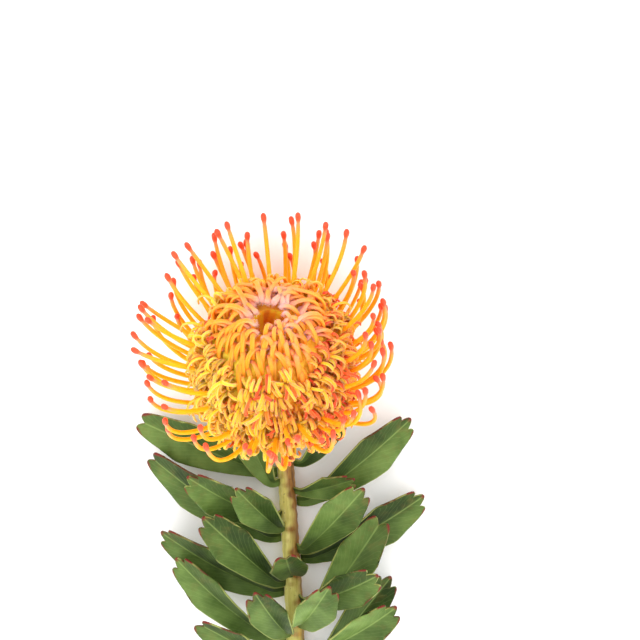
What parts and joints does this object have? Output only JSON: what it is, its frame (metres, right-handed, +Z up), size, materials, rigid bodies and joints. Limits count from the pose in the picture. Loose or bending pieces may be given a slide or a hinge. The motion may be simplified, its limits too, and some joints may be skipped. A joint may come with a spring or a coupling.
{
  "type": "pincushion protea flower",
  "caption": "Cut pincushion protea lying down: domed orange head of curled florets and long styles on a short leafy stem.",
  "frame": {"origin": "on the surface that the flower lies on, under the middle of its bounding box", "axes": "+Z up from the surface; +Y along the stem from its cut end to the flower head; +X to the right as seen from above with the head away from the viewer"},
  "size_m": [0.1214, 0.2238, 0.0975],
  "materials": {
    "floret_orange": "satin",
    "bract_green": "matte",
    "stem_olive": "satin",
    "leaf_green": "satin"
  },
  "bodies": {
    "root": {"flower_head": "floret_orange", "involucre": "bract_green", "stem": "stem_olive", "leaf_01": "leaf_green", "leaf_02": "leaf_green", "leaf_03": "leaf_green", "leaf_04": "leaf_green", "leaf_05": "leaf_green", "leaf_06": "leaf_green", "leaf_07": "leaf_green", "leaf_08": "leaf_green", "leaf_09": "leaf_green", "leaf_10": "leaf_green", "leaf_11": "leaf_green", "leaf_12": "leaf_green", "leaf_13": "leaf_green", "leaf_14": "leaf_green", "leaf_15": "leaf_green", "leaf_16": "leaf_green", "leaf_17": "leaf_green", "leaf_18": "leaf_green", "leaf_19": "leaf_green", "leaf_20": "leaf_green", "leaf_21": "leaf_green"}
  },
  "joints": []
}
